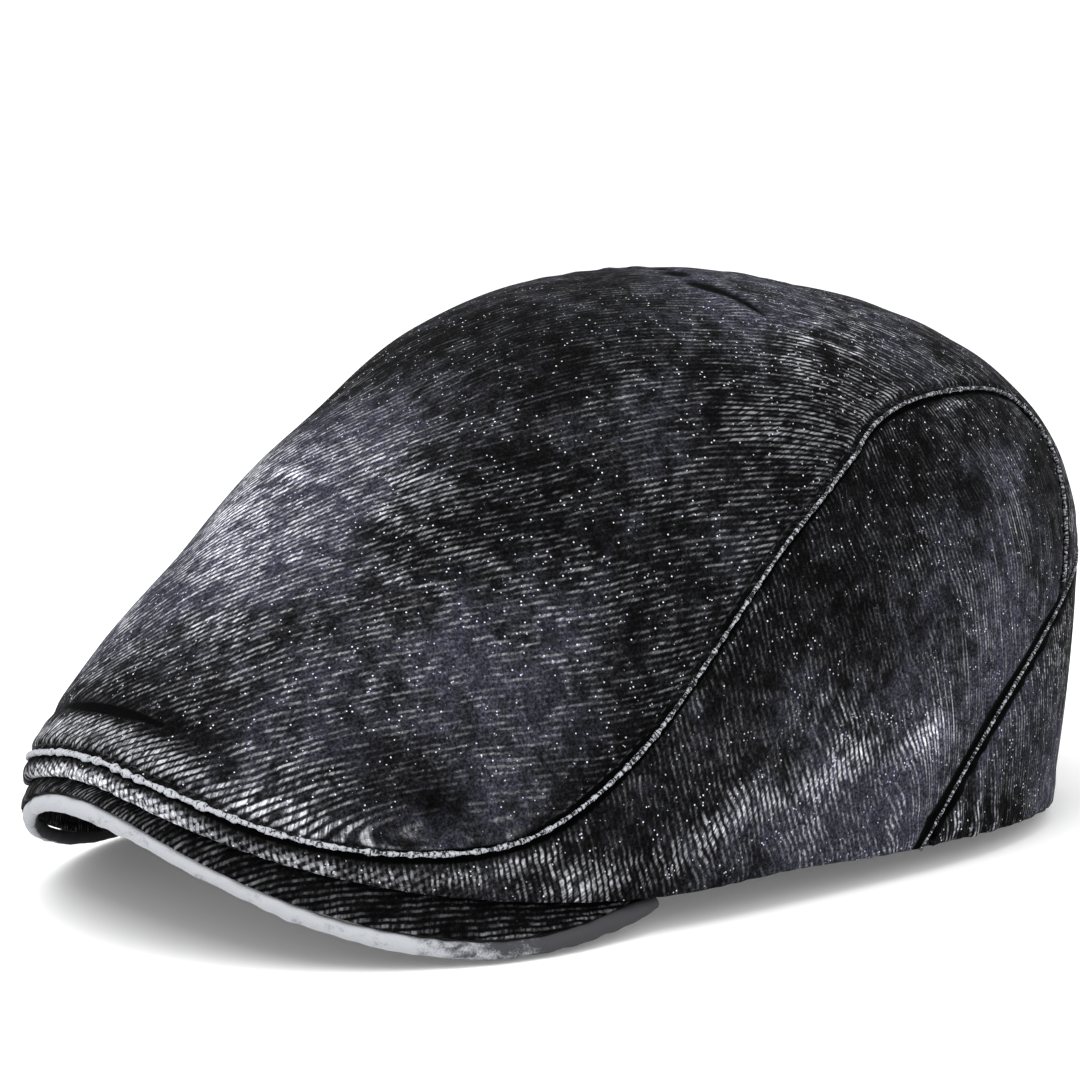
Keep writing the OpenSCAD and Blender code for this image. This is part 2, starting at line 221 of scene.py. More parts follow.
def distance_to(points, path):
    """Distance from each point to the nearest point of a path"""
    flat = points.reshape(-1, 3)
    squares = (flat**2).sum(1)[:, None] + (path**2).sum(1)[None] - 2 * flat @ path.T
    return np.sqrt(np.maximum(squares.min(1), 0)).reshape(points.shape[:-1])


# ---- The crown's surface ----

WIDEST_Y = 25.4
APEX_Y = 21.9
HEM_RISE = 1.7
HEM_RISE_AT = 79
HEM_RISE_WIDTH = 8.5


@dataclass(frozen=True)
class Shell:
    """A dome: its rim, its height, and the handles of its front, side and rear profiles"""

    half_width: float
    front_reach: float
    rear_reach: float
    front_roundness: float
    rear_roundness: float
    front_lift: float
    side_lift: float
    arch_power: float
    height: float
    front: tuple
    side: tuple
    rear: tuple

    def rim(self, turn):
        """Point of the rim; turn is 0 at the front, a quarter on the left and a half at the rear"""
        s, c = np.sin(turn), np.cos(turn)
        power = np.where(c > 0, self.front_roundness, self.rear_roundness)
        radius = (np.abs(s) ** power + np.abs(c) ** power) ** (-1 / power)
        reach = np.where(c > 0, self.front_reach, self.rear_reach)
        lift = self.front_lift * np.maximum(c, 0) ** self.arch_power + self.side_lift * s**2
        lift = lift + HEM_RISE * bell(np.degrees(np.arccos(c)) - HEM_RISE_AT, HEM_RISE_WIDTH)
        return np.stack([self.half_width * radius * s, WIDEST_Y - reach * radius * c, lift], -1)

    def handles(self, turn):
        s, c = np.sin(turn)[..., None], np.cos(turn)[..., None]
        ahead, behind = np.maximum(c, 0) ** 2, np.maximum(-c, 0) ** 2
        return np.array(self.front) * ahead + np.array(self.side) * s**2 + np.array(self.rear) * behind

    def point(self, chart):
        """Point of the dome; the chart is a disc with the top at its middle, front +y and left +x"""
        turn = np.arctan2(chart[..., 0], chart[..., 1])
        t = 1 - np.linalg.norm(chart, axis=-1)[..., None]
        q = 1 - t
        foot = self.rim(turn)
        top = np.array([0, APEX_Y, self.height])
        out = unit((foot - top) * [1, 1, 0])
        h = self.handles(turn)[..., None, :]
        up = np.array([0, 0, 1.0])
        low = foot + out * h[..., 0] + up * h[..., 1]
        high = foot + out * h[..., 2] + up * h[..., 3]
        run = top + out * h[..., 4]
        return q**4 * foot + 4 * q**3 * t * low + 6 * q**2 * t**2 * high + 4 * q * t**3 * run + t**4 * top

    def normal(self, chart):
        e = 0.004
        ahead = self.point(chart + [0, e]) - self.point(chart - [0, e])
        leftward = self.point(chart + [e, 0]) - self.point(chart - [e, 0])
        return unit(np.cross(ahead, leftward))

    def raised(self, chart, height):
        height = np.broadcast_to(height, chart.shape[:-1])
        return self.point(chart) + self.normal(chart) * height[..., None]

    def near_rim(self, turn, heights):
        """Chart points at several heights above the rim, measured along the dome, for each turn"""
        h = self.handles(turn)
        rise = 4 * np.hypot(h[:, 0], h[:, 1])
        reach = 1 - heights[None] / rise[:, None]
        return reach[..., None] * compass(turn)[:, None]


OUTER = Shell(
    half_width=77, front_reach=160, rear_reach=101.5, front_roundness=2.54, rear_roundness=2.65,
    front_lift=33.5, side_lift=5.7, arch_power=2.84, height=131.5,
    front=(1.5, 13.5, -58.5, 41.5, 70), side=(1.5, 31.5, -5.5, 91.5, 69), rear=(10, 92, 36.5, 89, 78.5),
)
DENIM_T = 1.4
LINING_DEPTH = 2.5
BAND_DEPTH = 3.3


def inner_shell(depth):
    """The shell of the lining and the sweatband, which stops short of the visor's front"""
    return Shell(
        half_width=OUTER.half_width - depth, front_reach=116.5 - depth, rear_reach=OUTER.rear_reach - depth,
        front_roundness=2.2, rear_roundness=OUTER.rear_roundness,
        front_lift=28, side_lift=OUTER.side_lift, arch_power=5, height=128.9 - depth,
        front=(-2, 22, -24, 60, 60), side=(1, 31, -6, 88, 66), rear=(8, 88, 34, 84, 74),
    )


LINING = inner_shell(LINING_DEPTH)
BAND = inner_shell(BAND_DEPTH)

# ---- Seams, as curves on the chart ----

FRONT_SEAM = [(0, 0.92), (0.19, 0.9), (0.37, 0.845), (0.53, 0.765), (0.655, 0.65)]
FLANK_SEAM = [
    (0.655, 0.65), (0.728, 0.51), (0.712, 0.35), (0.635, 0.2), (0.525, 0.065), (0.415, -0.04),
    (0.345, -0.17), (0.302, -0.305), (0.355, -0.4), (0.465, -0.436), (0.58, -0.453),
]
REAR_SEAM = [(0.995, -0.1), (0.86, -0.222), (0.715, -0.348), (0.58, -0.453)]
ARCH_SEAM = [(0.58, -0.453), (0.4, -0.585), (0.2, -0.675), (0, -0.7)]
CROWN_SEAM = joined(FRONT_SEAM, FLANK_SEAM)
FRONT_LINE = joined(FRONT_SEAM[::-1], opposite(FRONT_SEAM))
ARCH_LINE = joined(ARCH_SEAM, opposite(ARCH_SEAM[::-1]))


def rim_chart(start, end, steps, ease=1.0):
    """Stretch of the rim in degrees; ease above 1 packs its points towards the far end"""
    share = (1 - np.arange(steps + 1) / steps) ** ease
    return compass(np.radians(end + (start - end) * share))


# ---- Meshes ----


def add_piece(name, points, faces, cloth, material, slot, body="cap", replaces=(), marks=None):
    """Makes an object from points in mm, with its cloth coordinates in metres and its vertex marks"""
    mesh = bpy.data.meshes.new(name)
    mesh.from_pydata(np.asarray(points) * MM, [], faces)
    build = bmesh.new()
    build.from_mesh(mesh)
    bmesh.ops.recalc_face_normals(build, faces=build.faces)
    build.to_mesh(mesh)
    build.free()
    corner_points = np.zeros(len(mesh.loops), int)
    mesh.loops.foreach_get("vertex_index", corner_points)
    layer = mesh.uv_layers.new(name="cloth")
    layer.data.foreach_set("uv", (np.asarray(cloth) * MM)[corner_points].ravel())
    for mark, values in (marks or {}).items():
        attribute = mesh.attributes.new(mark, "FLOAT", "POINT")
        attribute.data.foreach_set("value", np.asarray(values, np.float32).ravel())
    mesh.shade_smooth()
    mesh.set_sharp_from_angle(angle=math.radians(45))
    mesh.materials.append(material)
    piece = new_object(name, mesh)
    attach(piece, body)
    if replaces:
        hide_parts(*replaces)
    return piece


def grid_quads(rows, cols, start=0):
    corner = start + np.arange(rows - 1)[:, None] * cols + np.arange(cols - 1)[None]
    return np.stack([corner, corner + 1, corner + cols + 1, corner + cols], -1).reshape(-1, 4).tolist()


def sheet_faces(rows, cols, step):
    """Faces of a fine grid, a coarse grid behind it and the walls that join their edges"""
    back_rows, back_cols = (rows - 1) // step + 1, (cols - 1) // step + 1
    behind = rows * cols
    faces = grid_quads(rows, cols) + grid_quads(back_rows, back_cols, behind)

    def wall(front_start, front_step, back_start, back_step, count):
        for k in range(count):
            edge = [front_start + (k * step + i) * front_step for i in range(step + 1)]
            faces.append(edge + [back_start + (k + 1) * back_step, back_start + k * back_step])

    wall(0, 1, behind, 1, back_cols - 1)
    wall((rows - 1) * cols, 1, behind + (back_rows - 1) * back_cols, 1, back_cols - 1)
    wall(0, cols, behind, back_cols, back_rows - 1)
    wall(cols - 1, cols, behind + back_cols - 1, back_cols, back_rows - 1)
    return faces


def add_sheet(name, face, back, cloth, material, step=1, marks=None, **options):
    """Closed sheet between a grid of face points and a grid of back points that is step times coarser"""
    rows, cols = face.shape[:2]
    points = np.vstack([face.reshape(-1, 3), back.reshape(-1, 3)])
    cloth = np.vstack([cloth.reshape(-1, 2), cloth[::step, ::step].reshape(-1, 2)])
    marks = {
        mark: np.concatenate([values.ravel(), values[::step, ::step].ravel()])
        for mark, values in (marks or {}).items()
    }
    return add_piece(name, points, sheet_faces(rows, cols, step), cloth, material, marks=marks, **options)


def ring_faces(count, sides, closed, start=0):
    """Faces of a solid swept through count sections of sides points each"""
    faces = []
    for i in range(count if closed else count - 1):
        here, there = start + i * sides, start + (i + 1) % count * sides
        for j in range(sides):
            nxt = (j + 1) % sides
            faces.append([here + j, here + nxt, there + nxt, there + j])
    if not closed:
        faces.append([start + j for j in range(sides)])
        faces.append([start + (count - 1) * sides + j for j in range(sides)])
    return faces


def add_sweep(name, sections, material, closed=False, marks=None, **options):
    """Solid through a list of sections; its cloth runs along the sweep and around each section. A mark
    has one value for each section or one for each point"""
    count, sides = sections.shape[:2]
    along = lengths(sections.mean(1), 0)[:, None] + np.zeros(sides)
    around = lengths(sections, 1)
    marks = {mark: values.reshape(count, -1) + np.zeros(sides) for mark, values in (marks or {}).items()}
    return add_piece(
        name, sections.reshape(-1, 3), ring_faces(count, sides, closed),
        np.stack([along, around], -1).reshape(-1, 2), material, marks=marks, **options,
    )


def stitch_rings(path, normals, stitch, pause, radius):
    """Thread stitches along a path: each rises out of the cloth, runs on it and dives back in"""
    travelled = lengths(path, 0)
    share = np.linspace(0, 1, 7)
    hump = np.sqrt(np.sin(np.pi * share))
    rise = hump * 1.35 - 1
    swell = 0.45 + 0.55 * hump
    turns = full_turn(6)
    starts = np.arange(pause, travelled[-1] - stitch, stitch + pause)
    rings = []
    for start in starts:
        places = start + share * stitch
        middle = resampled(path, travelled, places)
        n = unit(resampled(normals, travelled, places))
        side = unit(np.cross(np.gradient(middle, axis=0), n))
        middle = middle + n * (rise * radius)[:, None]
        circle = np.cos(turns)[None, :, None] * side[:, None] + np.sin(turns)[None, :, None] * n[:, None]
        rings.append(middle[:, None] + circle * (swell * radius)[:, None, None])
    return rings


def add_stitches(name, rings, material, **options):
    points = np.concatenate([ring.reshape(-1, 3) for ring in rings])
    count, sides = rings[0].shape[:2]
    faces = [face for k in range(len(rings)) for face in ring_faces(count, sides, False, k * count * sides)]
    along = np.tile(np.repeat(np.arange(count), sides), len(rings)) * 0.5
    around = np.tile(np.arange(sides), count * len(rings)) * 0.3
    return add_piece(name, points, faces, np.stack([along, around], -1), material, **options)


# ---- Materials ----


class Cloth:
    """Adds shader nodes to one new material; its methods take and return sockets or plain values"""

    def __init__(self, name, roughness, specular, metallic=0.0):
        self.material = bpy.data.materials.new(name)
        self.material.use_nodes = True
        self.tree = self.material.node_tree
        self.shader = self.tree.nodes["Principled BSDF"]
        self.shader.inputs["Roughness"].default_value = roughness
        self.shader.inputs["Specular IOR Level"].default_value = specular
        self.shader.inputs["Metallic"].default_value = metallic

    def node(self, kind, inputs=(), **settings):
        node = self.tree.nodes.new(kind)
        for setting, value in settings.items():
            setattr(node, setting, value)
        for key, value in dict(inputs).items():
            self.feed(node.inputs[key], value)
        return node

    def feed(self, socket, value):
        if isinstance(value, bpy.types.NodeSocket):
            self.tree.links.new(value, socket)
        else:
            socket.default_value = value

    def math(self, operation, *values, clamp=False):
        inputs = dict(enumerate(values))
        return self.node("ShaderNodeMath", inputs, operation=operation, use_clamp=clamp).outputs[0]

    def add(self, a, b):
        return self.math("ADD", a, b)

    def times(self, a, b):
        return self.math("MULTIPLY", a, b)

    def most(self, a, b):
        return self.math("MAXIMUM", a, b)

    def step(self, value, low, high, floor=0.0, top=1.0):
        """Smooth rise from floor to top as value goes from low to high"""
        inputs = {"Value": value, "From Min": low, "From Max": high, "To Min": floor, "To Max": top}
        return self.node("ShaderNodeMapRange", inputs, interpolation_type="SMOOTHSTEP").outputs["Result"]

    def mark(self, name):
        return self.node("ShaderNodeAttribute", attribute_name=name).outputs["Fac"]

    def scaled(self, vector, x, y=None, z=None):
        factors = (x, x if y is None else y, x if z is None else z)
        return self.node("ShaderNodeVectorMath", {0: vector, 1: factors}, operation="MULTIPLY").outputs[0]

    def cloth_mm(self):
        """Where the point lies on the flat cloth, in mm"""
        return self.scaled(self.node("ShaderNodeUVMap", uv_map="cloth").outputs["UV"], 1000)

    def space_mm(self):
        return self.scaled(self.node("ShaderNodeTexCoord").outputs["Object"], 1000)

    def noise(self, where, size, detail=2.0, roughness=0.5, distortion=0.0):
        """Noise with features about size mm across"""
        inputs = {
            "Vector": where, "Scale": 1 / size, "Detail": detail,
            "Roughness": roughness, "Distortion": distortion,
        }
        return self.node("ShaderNodeTexNoise", inputs).outputs["Fac"]

    def flecks(self, where, size, share, reach):
        """Small dots on a share of the cells of a scattered grid"""
        cells = self.node("ShaderNodeTexVoronoi", {"Vector": where, "Scale": 1 / size})
        dot = self.step(cells.outputs["Distance"], reach, reach * 0.5)
        pick = self.node("ShaderNodeSeparateColor", {0: cells.outputs["Color"]}).outputs[0]
        return self.times(dot, self.math("LESS_THAN", pick, share))

    def mix(self, share, low, high):
        node = self.node("ShaderNodeMix", data_type="RGBA", clamp_factor=True)
        self.feed(node.inputs["Factor"], share)
        for socket, value in ((node.inputs[6], low), (node.inputs[7], high)):
            self.feed(socket, value if isinstance(value, bpy.types.NodeSocket) else (*value, 1))
        return node.outputs[2]

    def turned(self, where, degrees):
        """Coordinates along and across a direction on the cloth"""
        inputs = {"Vector": where, "Angle": math.radians(-degrees)}
        out = self.node("ShaderNodeVectorRotate", inputs, rotation_type="Z_AXIS").outputs[0]
        parts = self.node("ShaderNodeSeparateXYZ", {0: out})
        return parts.outputs["X"], parts.outputs["Y"]

    def twill(self, where, degrees, pitch, width):
        """Ribs of a twill weave: their rounded profile, the beads along them and the runs that show"""
        along, across = self.turned(where, degrees)
        slow = self.times(self.add(self.noise(where, 22, 1.0), -0.5), 3.0)
        quick = self.times(self.add(self.noise(where, 2.6, 2.0), -0.5), 0.8)
        phase = self.math("DIVIDE", self.add(across, self.add(slow, quick)), pitch)
        rib = self.math("ROUND", phase)
        offset = self.math("ABSOLUTE", self.math("SUBTRACT", phase, rib))
        profile = self.step(self.add(offset, self.times(width, -0.13)), 0.33, 0.06)

        def strands(length, spread):
            inputs = {"X": self.math("DIVIDE", along, length), "Y": self.times(rib, spread), "Z": 0.0}
            return self.noise(self.node("ShaderNodeCombineXYZ", inputs).outputs[0], 1.0)

        return profile, strands(0.9, 5.3), strands(5.5, 2.7)

    def color(self, value):
        self.feed(self.shader.inputs["Base Color"], value)

    def bump(self, *layers):
        """Relief from pairs of a height between 0 and 1 and its depth in mm"""
        total = None
        for height, depth in layers:
            layer = self.times(height, depth)
            total = layer if total is None else self.add(total, layer)
        inputs = {"Height": total, "Distance": MM, "Strength": 1.0}
        self.feed(self.shader.inputs["Normal"], self.node("ShaderNodeBump", inputs).outputs["Normal"])


PALE = (0.30, 0.315, 0.345)
RIB_WHITE = (0.95, 0.96, 1.03)
SLATE_WHITE = (0.8, 0.83, 1.2)


def denim(name, degrees, pitch, cross=None):
    """Washed black denim: dark twill with cloudy slate patches, threads worn pale, white flecks, and
    painted shade, near black, where the mark is far below zero.
    cross is the direction and pitch of the second set of ribs, which shows where the cloth is rubbed"""
    m = Cloth(name, roughness=0.95, specular=0.04)
    cloth, space = m.cloth_mm(), m.space_mm()
    wear_and_shade, fade = m.mark("wear_and_shade"), m.mark("fade")
    grain = m.noise(space, 0.6, 3.0, 0.75)
    mottle = m.noise(space, 4.5, 4.0, 0.68, 0.4)
    uneven = m.add(mottle, -0.5)
    cloud = m.add(m.noise(space, 24, 5.0, 0.6, 0.8), m.times(fade, 0.2))
    slate = m.step(m.add(cloud, m.times(uneven, 0.35)), 0.36, 0.7, 0.1, 0.85)
    rubbed = m.step(wear_and_shade, 0.0, 1.0)

    profile, beads, runs = m.twill(cloth, degrees, pitch, rubbed)
    shown = m.step(m.add(m.add(runs, m.times(uneven, 0.55)), m.times(rubbed, 0.14)), 0.38, 0.66, 0.1, 1.0)
    ribs = m.times(m.times(profile, shown), m.step(beads, 0.34, 0.62, 0.15, 1.0))
    ribs = m.times(ribs, m.step(slate, 0.2, 1.0, 1.0, 0.5))
    if cross:
        profile2, beads2, _ = m.twill(cloth, *cross, rubbed)
        ribs2 = m.times(m.times(profile2, m.mark("cross")), m.step(beads2, 0.34, 0.62, 0.15, 1.0))
        ribs = m.most(ribs, ribs2)
    tone = m.times(m.step(grain, 0.3, 0.75, 0.2, 1.0), m.step(mottle, 0.3, 0.7, 0.1, 0.22))
    tone = m.add(tone, m.times(slate, m.step(grain, 0.3, 0.7, 0.09, 0.2)))
    tone = m.add(tone, m.times(m.step(wear_and_shade, 0.4, 1.2, 0.0, 0.2), m.step(grain, 0.35, 0.65)))
    tone = m.times(m.add(tone, 0.012), m.step(m.times(profile, shown), 0.0, 1.0, 0.72, 1.1))
    tone = m.add(tone, m.times(m.step(wear_and_shade, 1.1, 2.2, 0.0, 0.55), m.step(mottle, 0.3, 0.6, 0.5, 1.0)))
    tone = m.add(tone, m.times(ribs, m.step(wear_and_shade, -0.35, 0.9, 0.1, 0.7)))
    tone = m.times(tone, m.step(fade, -1.6, 1.4, 0.55, 1.4))
    # Painted shade: where the mark falls below zero the cloth darkens to near black, and its ribs and
    # flecks fade out
    tone = m.times(tone, m.step(wear_and_shade, -1.1, -0.4, 0.12, 1.0))
    dots = m.flecks(space, 0.95, m.step(mottle, 0.4, 0.7, 0.1, 0.5), 0.28)
    dots = m.times(m.times(dots, m.step(wear_and_shade, -0.8, -0.2)), m.step(fade, -1.3, -0.5, 0.2, 1.0))
    tone = m.most(tone, m.times(dots, m.step(grain, 0.3, 0.6, 0.35, 0.95)))
    white = m.mix(m.times(slate, m.step(ribs, 0.3, 0.0)), RIB_WHITE, SLATE_WHITE)
    m.color(m.mix(m.math("POWER", tone, 2.2, clamp=True), (0, 0, 0), white))
    m.bump((m.times(profile, m.step(wear_and_shade, -0.4, 0.5, 0.25, 1.0)), 0.13), (beads, 0.06), (grain, 0.05))
    return m.material


def worn_edge(name):
    """Folded denim edge, rubbed through to white threads"""
    m = Cloth(name, roughness=0.95, specular=0.1)
    cloth, space = m.cloth_mm(), m.space_mm()
    wear_and_shade = m.mark("wear_and_shade")
    fray = m.noise(m.scaled(cloth, 1.7, 0.8, 1), 1.0, 3.0, 0.7)
    rub = m.step(m.add(fray, m.times(m.add(wear_and_shade, -0.5), 0.28)), 0.44, 0.56)
    m.color(m.mix(rub, (0.012, 0.012, 0.014), m.mix(m.noise(space, 0.5), PALE, (0.5, 0.51, 0.54))))
    m.bump((fray, 0.25))
    return m.material


def faded_strip(name):
    """Smooth strip of cloth faded to a pale grey, darker where it is less worn and where shade is painted
    """
    m = Cloth(name, roughness=0.9, specular=0.1)
    cloth, space, wear_and_shade = m.cloth_mm(), m.space_mm(), m.mark("wear_and_shade")
    grain = m.noise(space, 0.45, 2.0, 0.6)
    blotch = m.noise(m.scaled(cloth, 0.6, 1.0, 1), 3.2, 4.0, 0.62)
    rub = m.step(m.add(m.add(blotch, m.times(grain, 0.35)), m.times(m.add(wear_and_shade, -1.0), 0.6)), 0.3, 0.66)
    m.color(m.mix(rub, (0.05, 0.05, 0.055), (0.375, 0.385, 0.41)))
    m.bump((grain, 0.05), (blotch, 0.12))
    return m.material


def plain_cloth(name, dark, light, size, depth, specular=0.2, roughness=0.85):
    """Plain weave of threads size mm apart"""
    m = Cloth(name, roughness=roughness, specular=specular)
    cloth = m.cloth_mm()
    x, y = m.turned(cloth, 0)
    turn = 2 * math.pi / size
    weave = m.times(m.math("SINE", m.times(x, turn)), m.math("SINE", m.times(y, turn)))
    weave = m.step(weave, -1, 1)
    cloud = m.noise(m.space_mm(), 6, 4.0, 0.65)
    m.color(m.mix(m.times(m.add(weave, cloud), 0.5), dark, light))
    m.bump((weave, depth), (cloud, 0.15))
    return m.material


def brass(name):
    m = Cloth(name, roughness=0.42, specular=0.5, metallic=1.0)
    space = m.space_mm()
    stain = m.step(m.noise(space, 2.5, 5.0, 0.65), 0.42, 0.6)
    scratch = m.noise(m.scaled(space, 0.3, 4, 4), 1.0, 3.0, 0.6)
    m.color(m.mix(stain, (0.36, 0.26, 0.13), (0.09, 0.06, 0.035)))
    m.feed(m.shader.inputs["Roughness"], m.step(m.add(stain, scratch), 0.3, 1.6, 0.3, 0.6))
    m.bump((scratch, 0.02))
    return m.material


def board_plastic(name):
    m = Cloth(name, roughness=0.6, specular=0.4)
    grain = m.noise(m.space_mm(), 0.4, 2.0)
    m.color(m.mix(grain, (0.02, 0.02, 0.02), (0.035, 0.035, 0.036)))
    m.bump((grain, 0.03))
    return m.material


# ---- Outer panels ----

# Faded patches of the wash: centre, reach, and how much paler (or darker) the cloth is there
FADES = [
    ((-4, -95, 72), 26, 1.0),
    ((-6, -73, 90), 20, 0.8),
    ((50, -97, 36), 14, -0.9),
    ((68, 74, 82), 12, 1.2),
    ((74, 66, 54), 9, 0.8),
    ((72, -40, 30), 22, -0.8),
    ((60, -20, 90), 40, -0.5),
    ((56, -62, 62), 20, 0.9),
    ((48, -30, 100), 22, 0.9),
    ((40, -85, 66), 14, 0.8),
]

# Creases pressed into the top panel, as points from one end to the other
PRESSED = [
    [(-16, -71, 91), (29, -74, 85), (46, -66, 78), (59, -56, 66)],
    [(14, -89, 76), (41, -78, 72), (54, -70, 62)],
]
# Sewn tucks on the left of the crown's top, seen from above; the right has the same
TUCKS = [
    [(5, 23, 0), (23.5, 18, 0), (39.8, 21, 0), (46.7, 27, 0), (50.8, 38, 0)],
    [(6.9, 48, 0), (24, 54, 0), (39.8, 60.5, 0)],
]
# The top of the crown, and the left front corner of its top panel
TOP = (0, APEX_Y, 131)
FRONT_CORNER = (60, -89, 33)


def patches(points):
    total = np.zeros(points.shape[:-1])
    for centre, reach, strength in FADES:
        total += strength * bell(distance_from(points, centre), reach)
    return total


def folded_edge(distance, radius=0.8):
    """Drop of a folded edge towards its last line"""
    inside = np.clip(distance, 0, radius)
    return np.sqrt(np.maximum(radius**2 - (radius - inside) ** 2, 0)) - radius


def pucker(along, distance, period, height, seed):
    """Small gathers across a seam that die out away from it"""
    rng = np.random.default_rng(seed)
    phase = along * 2 * np.pi / period
    waves = np.sin(phase + 1.5 * np.sin(phase * 0.31 + rng.uniform(0, 6)))
    waves *= 0.6 + 0.4 * np.sin(phase * 0.17)
    return height * waves * bell(distance, period * 0.7)


# The back of a sheet has a point for every fourth point of its face
BACK_STEP = 4


def add_denim_panel(name, chart, lift, cloth, material, marks, replaces):
    """Sheet of denim on the crown: its face follows the lift, its back is smooth and coarser"""
    back = OUTER.raised(chart[::BACK_STEP, ::BACK_STEP], -DENIM_T)
    add_sheet(
        name, OUTER.raised(chart, lift), back, cloth, material,
        step=BACK_STEP, marks=marks, slot="denim", replaces=replaces,
    )


# Direction of the top panel's ribs from the wearer's left: at the middle, and its turn per mm of cloth
RIB_ANGLE = math.radians(43)
RIB_TURN = math.radians(0.28)


def rib_cloth(leftward, backward):
    """Cloth coordinates along and across ribs that turn towards the back on the left of the cap. They
    lie closer in front, most of all in the left corner, where the cloth is drawn in along the seam"""
    drawn = 1.1 * backward - 2.8 * np.log1p(np.exp((backward - 95) / 10))
    drawn = drawn - 12.3 * np.exp((0.89 * leftward - 0.46 * backward - 35.9) / 6)
    left = np.maximum(leftward, 0)
    angle = RIB_ANGLE + RIB_TURN * left
    right = np.minimum(leftward, 0)
    rise = right * math.tan(RIB_ANGLE) - np.log(np.cos(angle) / math.cos(RIB_ANGLE)) / RIB_TURN
    secant = 1 / np.cos(angle) + np.tan(angle)
    first = 1 / math.cos(RIB_ANGLE) + math.tan(RIB_ANGLE)
    run = right / math.cos(RIB_ANGLE) + np.log(secant / first) / RIB_TURN
    return np.stack([run, drawn - rise], -1)


def plan_cloth(base):
    """How far each point of a panel lies to the left and back on the flat cloth"""
    middle = base.shape[1] // 2
    across = np.diff(base, axis=1, prepend=base[:, :1])
    leftward = -np.cumsum(np.hypot(across[..., 0], across[..., 2]), axis=1)
    along = np.diff(base, axis=0, prepend=base[:1])
    backward = np.cumsum(np.hypot(along[..., 1], along[..., 2]), axis=0)
    backward += base[:1, :, 1] - base[0, middle, 1]
    return leftward - leftward[:, middle:middle + 1], backward


def add_top_panel(material):
    along, across = packed(301), packed(221)
    right = opposite(FLANK_SEAM)
    chart = patch(FRONT_LINE, ARCH_LINE, FLANK_SEAM, right, along, across)
    base = OUTER.point(chart)
    down, sideways = lengths(base, 0), lengths(base, 1)
    front, rear = down, down[-1:] - down
    flank = np.minimum(sideways, sideways[:, -1:] - sideways)
    edge = np.minimum(np.minimum(front, rear), flank)
    lift = 0.5 * ripple(base, 26, 3) + 0.18 * ripple(base, 9, 4)
    lift = lift * np.clip(edge / 10, 0, 1)
    lift += 0.35 * bell(edge - 4.0, 2.2) - 0.4 * bell(edge - 1.8, 0.7) + folded_edge(edge)
    lift += pucker(sideways, front, 7.5, 0.3, 11) + pucker(down, flank, 8.5, 0.25, 12)
    crease = front - 11.5 - 2.5 * (base[..., 0] / 55) ** 2 + 0.6 * ripple(base, 30, 5)
    creased = np.clip(1.9 - np.abs(base[..., 0]) / 40, 0, 1)
    lift -= 0.6 * bell(crease, 2.4) * creased
    centre = bell(base[..., 0] + 4, 24)
    wear_and_shade = 0.2 + 0.2 * ripple(base, 40, 6) + 0.12 * ripple(base, 12, 8)
    # Rubbed in front of the crease. Painted shade darkens the crease and the grooves beside the seams; the
    # cloth is also darker at the top and in the front corner
    wear_and_shade += 0.15 * bell(front - 4.5, 5) * creased + 0.75 * bell(front - 5.5, 3.5) * centre
    wear_and_shade -= (1.5 * bell(crease, 1.3) + 0.7 * bell(crease, 2.2)) * centre + 0.9 * bell(edge - 1.0, 0.9)
    wear_and_shade -= 0.7 * bell(distance_from(base, TOP), 46) + 0.8 * bell(distance_from(base, FRONT_CORNER), 14)
    for points in PRESSED:
        away = distance_to(base, curve(points, np.linspace(0, 1, 80)))
        lift += 0.4 * bell(away, 2.2)
        wear_and_shade += 0.25 * bell(away, 1.8) - 0.25 * bell(away - 4, 2)
    plan = np.stack([np.abs(base[..., 0]), base[..., 1], np.zeros_like(edge)], -1)
    fade = 0.6 * ripple(base, 45, 7) + patches(base)
    for points in TUCKS:
        away = distance_to(plan, curve(points, np.linspace(0, 1, 80)))
        lift += 0.35 * bell(away - 2.8, 1.6) - 0.35 * bell(away, 1.5)
        wear_and_shade += 0.3 * bell(away - 2.6, 1.4) - 0.9 * bell(away, 1.4)
        fade += 0.4 * bell(away - 2.6, 1.5)
    cloth = rib_cloth(*plan_cloth(base))
    marks = {"wear_and_shade": wear_and_shade, "fade": fade}
    add_denim_panel("crown_top", chart, lift, cloth, material, marks, ["top_panel"])


# Where the side panel is rubbed most, from the visor's corner towards the back
HEM_BAND = [(70, -61, 13), (73, -46, 14), (75, -31, 18), (76, -9, 24), (77, 15, 28), (77, 42, 31)]

# Where the side panel ends and the back panel starts on the rim, in degrees from its front
SIDE_FOOT = 95.7
BACK_FOOT = 98.5


def around_rim(points):
    """Distance around the rim from its front to below each point"""
    turns = np.radians(np.linspace(0, 180, 361))
    travelled = lengths(OUTER.rim(turns) * [1, 1, 0], 0)
    reach = np.where(points[..., 1] < WIDEST_Y, OUTER.front_reach, OUTER.rear_reach)
    turn = np.arctan2(np.abs(points[..., 0]) / OUTER.half_width, (WIDEST_Y - points[..., 1]) / reach)
    return np.interp(turn, turns, travelled)


def side_name(side):
    """Side 1 is the wearer's left, -1 the right"""
    return "left" if side > 0 else "right"


